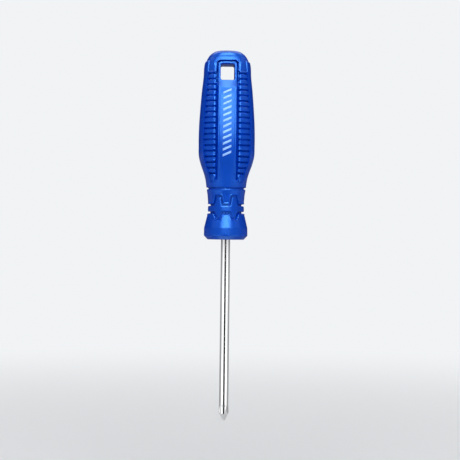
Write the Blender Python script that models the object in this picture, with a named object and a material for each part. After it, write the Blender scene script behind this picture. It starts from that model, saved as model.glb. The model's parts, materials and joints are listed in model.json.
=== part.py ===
"""Phillips screwdriver, PH1 x 100 mm, with a moulded handle that hangs on a peg.

Metres, +Z up. The driver hangs upright with its tip down: +Z runs from the tip to the butt and the
front panel faces -Y. The origin is on the driver's axis at the upper face of the hang hole, which
is the face that bears on a peg.

All sizes below are millimetres. A height is measured from the flat nose face of the handle, which
the shank comes out of, so the exposed blade lies below height 0.
"""

import math

import bmesh
import bpy
import numpy as np

MM = 0.001

# Overall sizes
BLADE_LENGTH = 100.0
SHANK_RADIUS = 2.5
HANDLE_LENGTH = 104.3
HANG_HEIGHT = 96.5  # the bearing face of the hang hole, where the origin is
FIT = 0.2  # clearance between neighbouring pieces

# Phillips point
POINT_HALF_ANGLE = math.radians(26.5)
POINT_END_RADIUS = 0.6
POINT_END_HEIGHT = 0.15  # the small rounded end below the cone
POINT_SWELL_END = 7.8  # from here the thicker point tapers into the shank
FLUTE_START_RADIUS = 0.45  # distance of a flute's floor from the axis at the tip
FLUTE_LENGTH = 9.0
FLUTE_HALF_ANGLE = math.radians(46.0)
FLUTE_TURN = 37.0  # degrees from the front centre to the first flute
FLUTE_CUTTER_REACH = 4.0
POINT_RADIUS = 2.6  # the point is upset slightly thicker than the shank

# Tang inside the handle
TANG_TOP = 62.0
WING_HEIGHTS = (34.0, 48.0)
WING_HALF_WIDTH = 4.4
WING_THICKNESS = 1.8

# Keyed core round the tang
CORE_HEIGHTS = (3.4, 76.0)
CORE_RADIUS = 6.1
CORE_KEY = 0.35
CORE_KEYS = 6

# Neck, as turned: bell, toothed band and collar
BAND_FLOOR_RADIUS = 8.8
BAND_RADIUS = 9.95
BAND_BEVEL = (0.15, 0.25)  # how far its rims are rounded inwards and along
WAIST_HEIGHTS = (27.7, 28.7)
WAIST_DEPTH = 0.7

# Grip
PANEL_HALF_WIDTH = 4.95
GROOVE_WIDTH = 1.35
STRIP_HEIGHTS = (31.4, 92.2)
STRIP_DEPTH = 2.0
RIB_GROOVES = 19
RIB_PITCH = 3.04
RIB_TOP_GROOVE = 91.0
RIB_GROOVE_DEPTH = 0.7
RIB_GROOVE_HALF_WIDTH = 0.5
RIB_BEVEL_WIDTH = 0.9  # each rib is bevelled where it faces the panel's groove
RIB_BEVEL_DEPTH = 0.8
RIB_GROOVE_AT_BEVEL = 0.2  # share of the ribs' groove that still shows at the bevel's foot
EYE_SHARE = 0.55  # the panel is never wider than this share of the handle
STEP = 0.06  # how far a recess wall leans over its depth

# Hang hole and the thinned eye round it
HOLE_HALF_WIDTH = 3.8
HOLE_HEIGHTS = (87.4, HANG_HEIGHT)
HOLE_CORNER = 1.1
HOLE_CUTTER = 20.0  # half length of the cutter, longer than the handle is deep
EYE_DEPTH = 1.9
EYE_RAMP = (83.2, 86.8)
EYE_TOP = 97.9

# Handle outline: (height, half width, half depth, squareness of the section, 2 being an ellipse)
OUTLINE = (
    (28.8, 10.9, 10.9, 2.0),
    (33.0, 11.5, 11.3, 2.05),
    (37.0, 12.6, 11.9, 2.15),
    (41.0, 14.1, 12.6, 2.25),
    (45.5, 15.2, 13.2, 2.3),
    (52.0, 15.5, 13.5, 2.3),
    (62.0, 15.4, 13.1, 2.3),
    (72.0, 14.8, 12.2, 2.3),
    (82.0, 14.0, 11.0, 2.3),
    (90.0, 13.1, 9.9, 2.35),
    (95.0, 12.85, 9.3, 2.4),
    (97.2, 12.3, 8.9, 2.4),
    (99.2, 11.1, 8.3, 2.4),
    (101.3, 9.9, 7.2, 2.4),
    (102.6, 8.5, 6.1, 2.35),
    (103.6, 6.6, 4.7, 2.3),
    (HANDLE_LENGTH, 4.2, 3.0, 2.2),
)
# Neck outline: (height, radius)
NECK = (
    (0.0, 10.0),
    (2.1, 12.0),
    (2.6, 12.1),
    (6.4, 11.9),
    (14.4, 10.05),
    (20.0, 9.9),
    (24.4, 10.25),
    (27.6, 10.65),
    (28.8, 10.9),
)
# Heights of the shell's rows of points where nothing else sets them
COLLAR_ROW = 25.6
CONE_ROW = 30.2
GRIP_ROWS = (36.0, 39.0, 42.0, 45.5, 50.0, 56.0, 62.0, 68.0, 74.0, 80.0)
HOLE_ROW = 95.0
BUTT_ROWS = (99.2, 100.6, 101.8, 102.7, 103.4, 103.9, HANDLE_LENGTH)
# Half of the grip strip's outer edge, as a share of the half width at the same height
STRIP_EDGE = ((31.4, 0.80), (34.5, 0.79), (38.0, 0.81), (41.0, 0.83), (92.2, 0.83))

# Edges of the two toothed grooves in the neck, in one quadrant: (degrees from the front centre, height)
BELL_EDGE = ((0, 14.35), (10.4, 14.35), (15.5, 11.05), (30.9, 11.05), (43.1, 14.45), (90, 14.45))
BAND_BOTTOM = ((0, 15.25), (14.4, 15.25), (19.5, 11.95), (28.1, 11.95), (40.3, 15.35), (90, 15.35))
BAND_TOP = ((0, 18.45), (14.1, 18.45), (19.6, 23.25), (32.7, 23.25), (43.2, 18.45), (90, 18.45))
COLLAR_EDGE = ((0, 19.35), (9.9, 19.35), (15.4, 24.15), (36.3, 24.15), (46.8, 19.35), (90, 19.35))
NECK_COLUMNS = (0, 5, 10, 14.2, 15.4, 19.6, 24, 28.4, 32.7, 36.4, 43.2, 47, 57, 68, 79, 90)
COLUMNS = 4 * (len(NECK_COLUMNS) - 1)  # all the way round


def clear_scene():
    for obj in list(bpy.data.objects):
        bpy.data.objects.remove(obj, do_unlink=True)


def curve_through(points, at):
    """A smooth curve through (place, value) points: cubic, with each slope taken from its neighbours."""
    places, values = np.array(points, float).T
    slopes = np.gradient(values, places)
    at = np.clip(at, places[0], places[-1])
    i = np.clip(np.searchsorted(places, at, side="right") - 1, 0, len(places) - 2)
    run = places[i + 1] - places[i]
    s = (at - places[i]) / run
    return (
        (2 * s**3 - 3 * s**2 + 1) * values[i]
        + (s**3 - 2 * s**2 + s) * run * slopes[i]
        + (3 * s**2 - 2 * s**3) * values[i + 1]
        + (s**3 - s**2) * run * slopes[i + 1]
    )


def body_sizes(height):
    """Half width, half depth and squareness of the handle at a height."""
    grip = [curve_through([(row[0], row[k]) for row in OUTLINE], height) for k in (1, 2, 3)]
    neck = np.interp(height, *np.array(NECK).T)
    below = height < OUTLINE[0][0]
    return np.where(below, neck, grip[0]), np.where(below, neck, grip[1]), grip[2]


def on_body(height, angle, depth):
    """Points on the handle's skin, sunk by depth along the skin's normal in the horizontal plane.

    The angle runs from the front centre (-Y) towards +X, and the section is a superellipse."""
    a, b, n = body_sizes(height)
    sine, cosine = np.sin(angle), np.cos(angle)
    x = a * np.sign(sine) * np.abs(sine) ** (2 / n)
    y = -b * np.sign(cosine) * np.abs(cosine) ** (2 / n)
    nx = np.sign(x) * np.abs(x / a) ** (n - 1) / a
    ny = np.sign(y) * np.abs(y / b) ** (n - 1) / b
    size = np.hypot(nx, ny)
    return np.stack([x - depth * nx / size, y - depth * ny / size, height], axis=-1)


def angle_at(x, height):
    """The section angle, in the front right quadrant, at which the skin is x from the centre plane."""
    a, _, n = body_sizes(height)
    return np.arcsin(np.clip(x / a, 0, 1) ** (n / 2))


def strip_edge(height):
    return body_sizes(height)[0] * np.interp(height, *np.array(STRIP_EDGE).T)


def all_round(quadrant):
    """One quadrant of a section mirrored into all four, starting at the front centre."""
    half = np.concatenate([quadrant, quadrant[..., -2::-1]], axis=-1)
    return np.concatenate([half, half[..., -2:0:-1]], axis=-1)


def all_round_angles(quadrant):
    half = np.concatenate([quadrant, math.pi - quadrant[..., -2::-1]], axis=-1)
    return np.concatenate([half, 2 * math.pi - half[..., -2:0:-1]], axis=-1)


def add_object(name, points, faces, material):
    """A named mesh object from points in millimetres above the nose face."""
    points = np.array(points, float).reshape(-1, 3) - (0, 0, HANG_HEIGHT)
    mesh = bpy.data.meshes.new(name)
    mesh.from_pydata((points * MM).tolist(), [], faces)
    editor = bmesh.new()
    editor.from_mesh(mesh)
    bmesh.ops.triangulate(editor, faces=[face for face in editor.faces if len(face.verts) > 4])
    bmesh.ops.recalc_face_normals(editor, faces=editor.faces)
    editor.to_mesh(mesh)
    editor.free()
    obj = bpy.data.objects.new(name, mesh)
    bpy.context.scene.collection.objects.link(obj)
    if material is None:
        obj.hide_render = True
        obj.display_type = "WIRE"
    else:
        mesh.materials.append(material)
        mesh.shade_smooth()
        mesh.set_sharp_from_angle(angle=math.radians(35))
    return obj


def tube_faces(rows, columns, close_rows=False):
    """Quads of a grid of rings. Closed rows join the last ring to the first, as on a torus."""
    faces = []
    for row in range(rows if close_rows else rows - 1):
        above = (row + 1) % rows
        for column in range(columns):
            beside = (column + 1) % columns
            faces.append(
                (
                    row * columns + column,
                    row * columns + beside,
                    above * columns + beside,
                    above * columns + column,
                )
            )
    return faces


def add_turned(name, rings, material):
    """A closed body from a stack of rings of points, with a flat cap at each end."""
    rows, columns = rings.shape[:2]
    faces = tube_faces(rows, columns)
    faces.append(tuple(range(columns)))
    faces.append(tuple(range((rows - 1) * columns, rows * columns)))
    return add_object(name, rings, faces, material)


def circle_rings(profile, columns):
    """Rings of (radius, height) points."""
    angles = np.arange(columns) * 2 * math.pi / columns
    radius, height = np.array(profile, float).T[..., None]
    return np.stack(
        [radius * np.sin(angles), -radius * np.cos(angles), height + 0 * angles], axis=-1
    )


def add_box(name, low, high, material=None):
    floor = ((low[0], low[1]), (high[0], low[1]), (high[0], high[1]), (low[0], high[1]))
    corners = [(x, y, z) for z in (low[2], high[2]) for x, y in floor]
    return add_turned(name, np.array(corners, float).reshape(2, 4, 3), material)


def cut(obj, cutter, operation="DIFFERENCE"):
    modifier = obj.modifiers.new(cutter.name, "BOOLEAN")
    modifier.operation = operation
    modifier.solver = "EXACT"
    modifier.object = cutter


def material_of(name, colour, roughness, metallic=0.0):
    material = bpy.data.materials.new(name)
    material.use_nodes = True
    shader = material.node_tree.nodes["Principled BSDF"]
    shader.inputs["Base Color"].default_value = (*colour, 1)
    shader.inputs["Roughness"].default_value = roughness
    shader.inputs["Metallic"].default_value = metallic
    return material


def make_blade(material):
    """One steel bar: Phillips point, round shank, and a tang with two pressed wings."""
    cone = (POINT_RADIUS - POINT_END_RADIUS) / math.tan(POINT_HALF_ANGLE)
    tip = -BLADE_LENGTH
    profile = (
        (POINT_END_RADIUS * 0.6, tip),
        (POINT_END_RADIUS, tip + POINT_END_HEIGHT),
        (POINT_RADIUS, tip + POINT_END_HEIGHT + cone),
        (POINT_RADIUS, tip + POINT_SWELL_END),
        (SHANK_RADIUS, tip + FLUTE_LENGTH),
        (SHANK_RADIUS, 0.0),
        (SHANK_RADIUS, TANG_TOP - 0.8),
        (SHANK_RADIUS - 0.8, TANG_TOP),
    )
    blade = add_turned("blade", circle_rings(profile, 24), material)
    for k in range(4):
        cut(blade, make_flute(f"flute_cutter_{k}", math.radians(FLUTE_TURN + 90 * k)))
    low, high = WING_HEIGHTS
    wings = add_box(
        "wing_shape",
        (-WING_HALF_WIDTH, -WING_THICKNESS / 2, low),
        (WING_HALF_WIDTH, WING_THICKNESS / 2, high),
    )
    cut(blade, wings, "UNION")


def make_flute(name, turn):
    """A V-shaped cutter whose floor climbs from near the axis at the tip out through the shank's side."""
    climb = (SHANK_RADIUS - FLUTE_START_RADIUS) / FLUTE_LENGTH
    rings = []
    for height in (-BLADE_LENGTH - 1.0, -BLADE_LENGTH + FLUTE_LENGTH + 1.5):
        floor = FLUTE_START_RADIUS + climb * (height + BLADE_LENGTH)
        mouth = floor + FLUTE_CUTTER_REACH
        spread = FLUTE_CUTTER_REACH * math.tan(FLUTE_HALF_ANGLE)
        for radial, across in ((floor, 0.0), (mouth, spread), (mouth, -spread)):
            rings.append(
                (
                    radial * math.sin(turn) + across * math.cos(turn),
                    -radial * math.cos(turn) + across * math.sin(turn),
                    height,
                )
            )
    return add_turned(name, np.array(rings).reshape(2, 3, 3), None)


def core_rings(clearance, ends):
    """The core's keyed section at each (height, shrink) pair."""
    angles = np.arange(COLUMNS) * 2 * math.pi / COLUMNS
    rings = []
    for height, shrink in ends:
        radius = CORE_RADIUS + CORE_KEY * np.cos(CORE_KEYS * angles) + clearance - shrink
        rings.append(
            np.stack([radius * np.sin(angles), -radius * np.cos(angles), height + 0 * angles], -1)
        )
    return np.array(rings)


def make_core(material):
    """The hard body moulded round the tang first. Its keys stop the outer handle from turning on it."""
    low, high = CORE_HEIGHTS
    ends = ((low, 0.6), (low + 0.6, 0), (high - 2, 0), (high, 2))
    core = add_turned("handle_core", core_rings(0, ends), material)
    bore = ((SHANK_RADIUS + FIT, low - 2), (SHANK_RADIUS + FIT, TANG_TOP + FIT))
    cut(core, add_turned("tang_bore_cutter", circle_rings(bore, 24), None))
    slot = add_box(
        "wing_slot_cutter",
        (-WING_HALF_WIDTH - FIT, -WING_THICKNESS / 2 - FIT, WING_HEIGHTS[0] - FIT),
        (WING_HALF_WIDTH + FIT, WING_THICKNESS / 2 + FIT, WING_HEIGHTS[1] + FIT),
    )
    cut(core, slot)


def shell_rows():
    """The outer grid of the shell as arrays of height, angle and depth, one quadrant wide."""
    degrees = np.array(NECK_COLUMNS, float)
    neck_angles = np.radians(degrees)
    bell = np.interp(degrees, *np.array(BELL_EDGE).T)
    collar = np.interp(degrees, *np.array(COLLAR_EDGE).T)
    heights, angles, depths = [], [], []

    def add(height, angle, depth):
        heights.append(np.broadcast_to(height, degrees.shape) + 0.0)
        angles.append(np.broadcast_to(angle, degrees.shape) + 0.0)
        depths.append(np.broadcast_to(depth, degrees.shape) + 0.0)

    for height, _ in NECK[:4]:
        add(height, neck_angles, 0)
    add((NECK[3][0] + bell) / 2, neck_angles, 0)
    add(bell, neck_angles, 0)
    for edge in (bell + STEP, collar - STEP):
        add(edge, neck_angles, body_sizes(edge)[0] - BAND_FLOOR_RADIUS)
    add(collar, neck_angles, 0)
    low, high = WAIST_HEIGHTS
    for height in (COLLAR_ROW, low):
        add(height, neck_angles, 0)
    for height in (low + STEP, high - STEP):
        add(height, neck_angles, WAIST_DEPTH)
    add(high, neck_angles, 0)
    add(CONE_ROW, (neck_angles + grip_angles(CONE_ROW)) / 2, 0)

    ramp_low, ramp_high = EYE_RAMP
    first, last = STRIP_HEIGHTS
    beside_strips = (first + STEP, *GRIP_ROWS, ramp_low, ramp_high, last - STEP)
    for height in (first, *beside_strips, last, HOLE_ROW, EYE_TOP - STEP):
        in_strip = first < height < last
        eye_depth = EYE_DEPTH * np.interp(height, EYE_RAMP, (0, 1))
        depth = np.zeros(len(degrees))
        depth[:3] = eye_depth
        depth[3:8] = STRIP_DEPTH if in_strip else 0
        add(height, grip_angles(height), depth)
    for height in (EYE_TOP, *BUTT_ROWS):
        add(height, grip_angles(height), 0)
    return np.array(heights), np.array(angles), np.array(depths)


def grip_angles(height):
    """Angles of the grip's columns: panel, recess for a strip, and side rail, in one quadrant."""
    half_width = body_sizes(height)[0]
    inner = min(PANEL_HALF_WIDTH, EYE_SHARE * half_width)
    outer = strip_edge(height)
    places = [0.0, inner / 2, inner]
    places += list(np.linspace(inner + STEP, outer - STEP, 5)) + [outer]
    angles = angle_at(np.array(places), height)
    rail = np.linspace(angles[-1], math.pi / 2, len(NECK_COLUMNS) - len(places) + 1)[1:]
    return np.concatenate([angles, rail])


def make_shell(material):
    """The outer handle: panels, side rails, hang eye, neck and bell in one moulding round the core."""
    heights, angles, depths = shell_rows()
    outer = on_body(all_round(heights), all_round_angles(angles), all_round(depths))
    low, high = CORE_HEIGHTS
    pocket = core_rings(FIT, ((high + FIT, 2), (high - 2, 0), (low + 0.6, 0), (low - FIT, 0)))
    shank_exit = circle_rings([(SHANK_RADIUS + FIT, height) for height in (low - FIT, 0)], COLUMNS)
    rings = np.concatenate([pocket, shank_exit, outer])
    shell = add_turned("handle_shell", rings, material)
    cut(shell, make_hole_cutter())


def make_hole_cutter():
    """The squarish hang hole as a rounded prism along Y, longer than the handle is deep."""
    low, high = HOLE_HEIGHTS
    middle = (low + high) / 2
    rise = (high - low) / 2
    ring = []
    for quarter in range(4):
        for step in range(4):
            angle = math.radians(90 * quarter + 30 * step)
            x = math.copysign(HOLE_HALF_WIDTH - HOLE_CORNER, math.cos(math.radians(90 * quarter + 45)))
            z = math.copysign(rise - HOLE_CORNER, math.sin(math.radians(90 * quarter + 45)))
            ring.append((x + HOLE_CORNER * math.cos(angle), z + HOLE_CORNER * math.sin(angle)))
    rings = [[(x, y, middle + z) for x, z in ring] for y in (-HOLE_CUTTER, HOLE_CUTTER)]
    return add_turned("hang_hole_cutter", np.array(rings), None)


def make_band(material):
    """The toothed ring let into the neck between the bell and the collar."""
    degrees = np.array(NECK_COLUMNS, float)
    angles = all_round_angles(np.radians(degrees))
    bottom = all_round(np.interp(degrees, *np.array(BAND_BOTTOM).T))
    top = all_round(np.interp(degrees, *np.array(BAND_TOP).T))
    rings = []
    inner = BAND_FLOOR_RADIUS + FIT
    bevel_in, bevel_up = BAND_BEVEL
    for radius, height in (
        (inner, bottom),
        (BAND_RADIUS - bevel_in, bottom),
        (BAND_RADIUS, bottom + bevel_up),
        (BAND_RADIUS, top - bevel_up),
        (BAND_RADIUS - bevel_in, top),
        (inner, top),
    ):
        rings.append(np.stack([radius * np.sin(angles), -radius * np.cos(angles), height], -1))
    rings = np.array(rings)
    faces = tube_faces(*rings.shape[:2], close_rows=True)
    add_object("neck_band", rings, faces, material)


def make_strip(name, right, front, material):
    """One ribbed soft strip. Its bevelled inner edge leaves a groove beside the panel."""
    low, high = STRIP_HEIGHTS
    rows = [(low + FIT, 0.0)]
    for k in reversed(range(RIB_GROOVES)):
        centre = RIB_TOP_GROOVE - RIB_PITCH * k
        rows.append((centre - RIB_GROOVE_HALF_WIDTH, 0.0))
        rows.append((centre, RIB_GROOVE_DEPTH))
        rows.append((centre + RIB_GROOVE_HALF_WIDTH, 0.0))
    rows.append((high - FIT, 0.0))
    skins = []
    for inside in (False, True):
        skin = []
        for height, groove in rows:
            inner = PANEL_HALF_WIDTH + GROOVE_WIDTH
            outer = strip_edge(height) - FIT - STEP
            bevelled = inner + RIB_BEVEL_WIDTH
            x = np.array([inner, bevelled, (bevelled + outer) / 2, outer])
            foot = RIB_BEVEL_DEPTH + RIB_GROOVE_AT_BEVEL * groove
            depth = np.array([foot, groove, groove, groove])
            if inside:
                depth = np.full(4, STRIP_DEPTH - FIT)
            skin.append(on_body(np.full(4, height), angle_at(x, height), depth))
        skins.append(np.array(skin))
    points = np.array(skins)
    points[..., 0] *= 1 if right else -1
    points[..., 1] *= 1 if front else -1
    count = len(rows)

    def index(side, row, column):
        return (side * count + row) * 4 + column

    faces = []
    for side in range(2):
        for row in range(count - 1):
            for column in range(3):
                faces.append(
                    (
                        index(side, row, column),
                        index(side, row, column + 1),
                        index(side, row + 1, column + 1),
                        index(side, row + 1, column),
                    )
                )
    edge = [(0, c) for c in range(4)] + [(r, 3) for r in range(1, count)]
    edge += [(count - 1, c) for c in (2, 1, 0)] + [(r, 0) for r in range(count - 2, 0, -1)]
    for here, there in zip(edge, edge[1:] + edge[:1]):
        faces.append((index(0, *here), index(0, *there), index(1, *there), index(1, *here)))
    add_object(name, points, faces, material)


def main():
    clear_scene()
    steel = material_of("chromed_steel", (0.72, 0.73, 0.75), 0.12, 1.0)
    hard_blue = material_of("blue_polypropylene", (0.005, 0.06, 0.62), 0.3)
    soft_blue = material_of("blue_soft_grip", (0.004, 0.045, 0.5), 0.45)
    core_blue = material_of("core_polypropylene", (0.01, 0.03, 0.2), 0.5)
    make_blade(steel)
    make_core(core_blue)
    make_shell(hard_blue)
    make_band(soft_blue)
    for front, face in ((True, "front"), (False, "back")):
        for right, side in ((True, "right"), (False, "left")):
            make_strip(f"grip_strip_{face}_{side}", right, front, soft_blue)


main()
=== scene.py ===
import json
import math

import bmesh
import bpy
import numpy as np
from mathutils import Matrix, Vector


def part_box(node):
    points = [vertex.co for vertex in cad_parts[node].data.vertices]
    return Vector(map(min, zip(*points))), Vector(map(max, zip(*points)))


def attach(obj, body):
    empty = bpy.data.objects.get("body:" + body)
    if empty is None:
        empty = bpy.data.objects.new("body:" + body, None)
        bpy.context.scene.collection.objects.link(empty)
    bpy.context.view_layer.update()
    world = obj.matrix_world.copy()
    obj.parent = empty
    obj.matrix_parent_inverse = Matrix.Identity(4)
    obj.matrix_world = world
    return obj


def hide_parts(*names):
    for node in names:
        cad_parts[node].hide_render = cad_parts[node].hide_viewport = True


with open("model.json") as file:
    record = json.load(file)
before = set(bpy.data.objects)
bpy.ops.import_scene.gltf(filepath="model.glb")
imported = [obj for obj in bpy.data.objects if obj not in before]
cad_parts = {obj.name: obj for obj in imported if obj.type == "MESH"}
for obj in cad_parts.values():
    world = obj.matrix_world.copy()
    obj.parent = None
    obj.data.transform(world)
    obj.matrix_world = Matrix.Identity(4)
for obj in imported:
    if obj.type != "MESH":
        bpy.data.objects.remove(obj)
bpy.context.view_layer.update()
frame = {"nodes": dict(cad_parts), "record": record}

# Blade: one drawn chrome-vanadium bar with a No. 1 Phillips point. The shank is chrome plated over a
# lengthwise polish, the point is bead blasted to a grey, and the tang's two pressed wings hold the handle.

MM = 0.001
MOUNTS = {mount["name"]: mount for mount in frame["record"]["mounts"]}
NOSE = MOUNTS["nose_face"]["pos_m"][2]  # z of the handle's nose face; all heights are in mm above it
TIP, TANG_TOP = ((corner[2] - NOSE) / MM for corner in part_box("blade"))
SHANK, POINT = 2.5, 2.6  # radii; the point is upset slightly thicker than the shank
POINT_END, POINT_NOSE = 0.85, 0.55  # radius and height of the rounded end below the cone
POINT_CONE = math.radians(26.5)
POINT_LENGTH, FLUTE_LENGTH = 7.6, 9.0  # above the tip; the point narrows to the shank between the two
FLUTE_FLOOR, FLUTE_RUNOUT, FLUTE_CURVE = 0.45, 0.1, 0.9
FLUTE_WALL, FLUTE_TURN = math.radians(46), math.radians(37)
WING_FROM, WING_TO, WING_HALF, WING_THICK = 34.0, 48.0, 4.4, 0.9  # heights, half width, half thickness
TANG_CHAMFER = 0.8
BLADE_SIDES = 128
FAR = 99.0  # mm, more than any distance across the driver


def linear(colour):
    """An sRGB hex colour such as "#0A4FC0" as linear red, green and blue, with an alpha of 1."""
    parts = np.array([int(colour[k : k + 2], 16) for k in (1, 3, 5)]) / 255
    curve = np.where(parts <= 0.04045, parts / 12.92, ((parts + 0.055) / 1.055) ** 2.4)
    return (*curve.tolist(), 1.0)


def add_node(tree, kind, inputs=None, **settings):
    """One shader node. Inputs maps a socket's name or number to a value or to another node's output."""
    node = tree.nodes.new(kind)
    for name, value in settings.items():
        setattr(node, name, value)
    for socket, value in (inputs or {}).items():
        if isinstance(value, bpy.types.NodeSocket):
            tree.links.new(value, node.inputs[socket])
        else:
            node.inputs[socket].default_value = value
    return node


def new_material(name):
    """An empty material's node tree, its Principled shader and its Object coordinates."""
    material = bpy.data.materials.new(name)
    material.use_nodes = True
    tree = material.node_tree
    place = add_node(tree, "ShaderNodeTexCoord").outputs["Object"]
    return material, tree, tree.nodes["Principled BSDF"], place


def quads(rows, columns, wrap_columns=True, wrap_rows=False):
    """The quads of a grid of rows x columns points, each as four point numbers, turned the same way."""
    row = np.arange(rows if wrap_rows else rows - 1)[:, None]
    column = np.arange(columns if wrap_columns else columns - 1)[None, :]
    above, beside = (row + 1) % rows, (column + 1) % columns
    corners = ((row, column), (row, beside), (above, beside), (above, column))
    numbers = [along * columns + across for along, across in corners]
    return np.stack(np.broadcast_arrays(*numbers), axis=-1).reshape(-1, 4)


def fan(ring, pole):
    """Triangles from a ring of point numbers to one pole."""
    return np.stack([ring, np.roll(ring, -1), np.full(len(ring), pole)], axis=-1)


def add_piece(name, points, faces, material, sharp=50, node=None):
    """A mesh object at the origin from points in mm above the nose face, with its faces turned outwards."""
    points = np.asarray(points, float).reshape(-1, 3) * MM + (0, 0, NOSE)
    mesh = bpy.data.meshes.new(name)
    mesh.from_pydata(points.tolist(), [], [face for group in faces for face in group.tolist()])
    editor = bmesh.new()
    editor.from_mesh(mesh)
    if editor.calc_volume(signed=True) < 0:
        bmesh.ops.reverse_faces(editor, faces=editor.faces)
    editor.to_mesh(mesh)
    editor.free()
    mesh.shade_smooth()
    mesh.set_sharp_from_angle(angle=math.radians(sharp))
    piece = bpy.data.objects.new(name, mesh)
    bpy.context.scene.collection.objects.link(piece)
    mesh.materials.append(material)
    if node:
        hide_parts(node)
    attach(piece, "root")
    return piece


def turned(reach, around, height):
    """Points at the distance reach from the axis: x = reach sin(around), y = -reach cos(around)."""
    return np.stack(np.broadcast_arrays(reach * np.sin(around), -reach * np.cos(around), height), axis=-1)


def blade_radius(around, height):
    """The bar's radius: the turned outline of cone, point and shank, cut by four V flutes whose floors
    climb from the tip, and widened to a flat slab where the wings are pressed. A flute with its floor f
    from the axis and walls at angle w leaves the radius f / (cos p - |sin p| / tan w) at angle p from
    its middle."""
    up = height - TIP
    cone = POINT_END + (up - POINT_NOSE) * math.tan(POINT_CONE)
    nose = POINT_END * np.sqrt(np.clip(1 - (1 - up / POINT_NOSE) ** 2, 0, 1))
    barrel = np.interp(up, (POINT_LENGTH, FLUTE_LENGTH), (POINT, SHANK))
    radius = np.minimum(np.where(up < POINT_NOSE, nose, cone), barrel)
    floor = FLUTE_FLOOR + (POINT + FLUTE_RUNOUT - FLUTE_FLOOR) * (up / FLUTE_LENGTH) ** FLUTE_CURVE
    off = (around - FLUTE_TURN + math.pi / 4) % (math.pi / 2) - math.pi / 4
    share, least = np.cos(off) - np.abs(np.sin(off)) / math.tan(FLUTE_WALL), 0.02
    radius = np.minimum(radius, np.where(share > least, floor / np.maximum(share, least), FAR))
    to_wing_edge = WING_HALF / np.maximum(np.abs(np.sin(around)), 1e-3)
    to_wing_face = WING_THICK / np.maximum(np.abs(np.cos(around)), 1e-3)
    pressed = (height > WING_FROM) & (height < WING_TO)
    return np.where(pressed, np.maximum(radius, np.minimum(to_wing_edge, to_wing_face)), radius)


blade_heights = np.concatenate(
    [
        TIP + np.array([0.01, 0.04, 0.1, 0.18, 0.28, 0.4, 0.55]),  # the rounded end
        TIP + np.arange(0.7, 10.5, 0.15),  # the flutes
        TIP + np.linspace(12, -TIP, 30),
        [WING_FROM - 0.01, WING_FROM + 0.01, WING_TO - 0.01, WING_TO + 0.01],
        [TANG_TOP - TANG_CHAMFER],
    ]
)
blade_around = np.arange(BLADE_SIDES) * 2 * math.pi / BLADE_SIDES
bar = turned(blade_radius(blade_around, blade_heights[:, None]), blade_around, blade_heights[:, None])
tang_end = turned(SHANK - TANG_CHAMFER, blade_around, TANG_TOP)
blade_points = np.concatenate([bar.reshape(-1, 3), tang_end, [[0, 0, TIP], [0, 0, TANG_TOP]]])
tip_pole, tang_pole = len(blade_points) - 2, len(blade_points) - 1
first_ring = np.arange(BLADE_SIDES)
blade_faces = [
    quads(len(blade_heights) + 1, BLADE_SIDES),
    fan(first_ring[::-1], tip_pole),
    fan(first_ring + tip_pole - BLADE_SIDES, tang_pole),
]

# Hard chrome over polished steel: a near mirror, with faint lines along the bar from the polishing belt.
# The flutes and the cone are blasted, so they scatter light and look light grey, while the wings between
# the flutes stay polished like the shank. Belt lines and grit are really some 0.02 mm apart, and are drawn
# ten times as coarse so that they show.
BELT_LINES, GRITS = 4, 5  # to the millimetre
POLISHED_ROUGHNESS, BLASTED_ROUGHNESS = (0.07, 0.13), (0.26, 0.38)
BLASTED_METALLIC = 0.45
BLASTED_TO = 7.5  # above the tip, where the blasting starts to fade out towards the flutes' ends
BLASTED_UNDER = (0.06, 0.3)  # it starts so far under the point's turned skin, and is full so far under it

chrome, tree, shader, place = new_material("chrome_plated_steel_blasted_point")
height_of = add_node(tree, "ShaderNodeSeparateXYZ", {0: place}).outputs["Z"]
below_flutes = add_node(
    tree,
    "ShaderNodeMapRange",
    {
        "Value": height_of,
        "From Min": NOSE + (TIP + FLUTE_LENGTH) * MM,
        "From Max": NOSE + (TIP + BLASTED_TO) * MM,
    },
    interpolation_type="SMOOTHSTEP",
).outputs["Result"]
flat_place = add_node(tree, "ShaderNodeVectorMath", {0: place, 1: (1, 1, 0)}, operation="MULTIPLY")
from_axis = add_node(tree, "ShaderNodeVectorMath", {0: flat_place.outputs[0]}, operation="LENGTH")
cut_away = add_node(
    tree,
    "ShaderNodeMapRange",
    {
        "Value": from_axis.outputs["Value"],
        "From Min": (POINT - BLASTED_UNDER[0]) * MM,
        "From Max": (POINT - BLASTED_UNDER[1]) * MM,
    },
    interpolation_type="SMOOTHSTEP",
).outputs["Result"]
blasted = add_node(tree, "ShaderNodeMath", {0: below_flutes, 1: cut_away}, operation="MULTIPLY").outputs[0]
along = add_node(tree, "ShaderNodeMapping", {"Vector": place, "Scale": (1, 1, 0.02)}).outputs["Vector"]
lines = add_node(
    tree, "ShaderNodeTexNoise", {"Vector": along, "Scale": BELT_LINES / MM, "Detail": 2}
).outputs["Fac"]
grit = add_node(
    tree, "ShaderNodeTexNoise", {"Vector": place, "Scale": GRITS / MM, "Detail": 2}
).outputs["Fac"]
bright, dull = (
    add_node(tree, "ShaderNodeMapRange", {"Value": pattern, "To Min": low, "To Max": high}).outputs[0]
    for pattern, (low, high) in ((lines, POLISHED_ROUGHNESS), (grit, BLASTED_ROUGHNESS))
)
rough = add_node(tree, "ShaderNodeMix", {"Factor": blasted, 2: bright, 3: dull}, data_type="FLOAT")
colour = add_node(
    tree,
    "ShaderNodeMix",
    {"Factor": blasted, 6: linear("#E3E4E6"), 7: linear("#CFCFD1")},
    data_type="RGBA",
)
metallic = add_node(
    tree, "ShaderNodeMapRange", {"Value": blasted, "To Min": 1.0, "To Max": BLASTED_METALLIC}
)
relief = add_node(tree, "ShaderNodeMix", {"Factor": blasted, 2: lines, 3: grit}, data_type="FLOAT")
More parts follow.
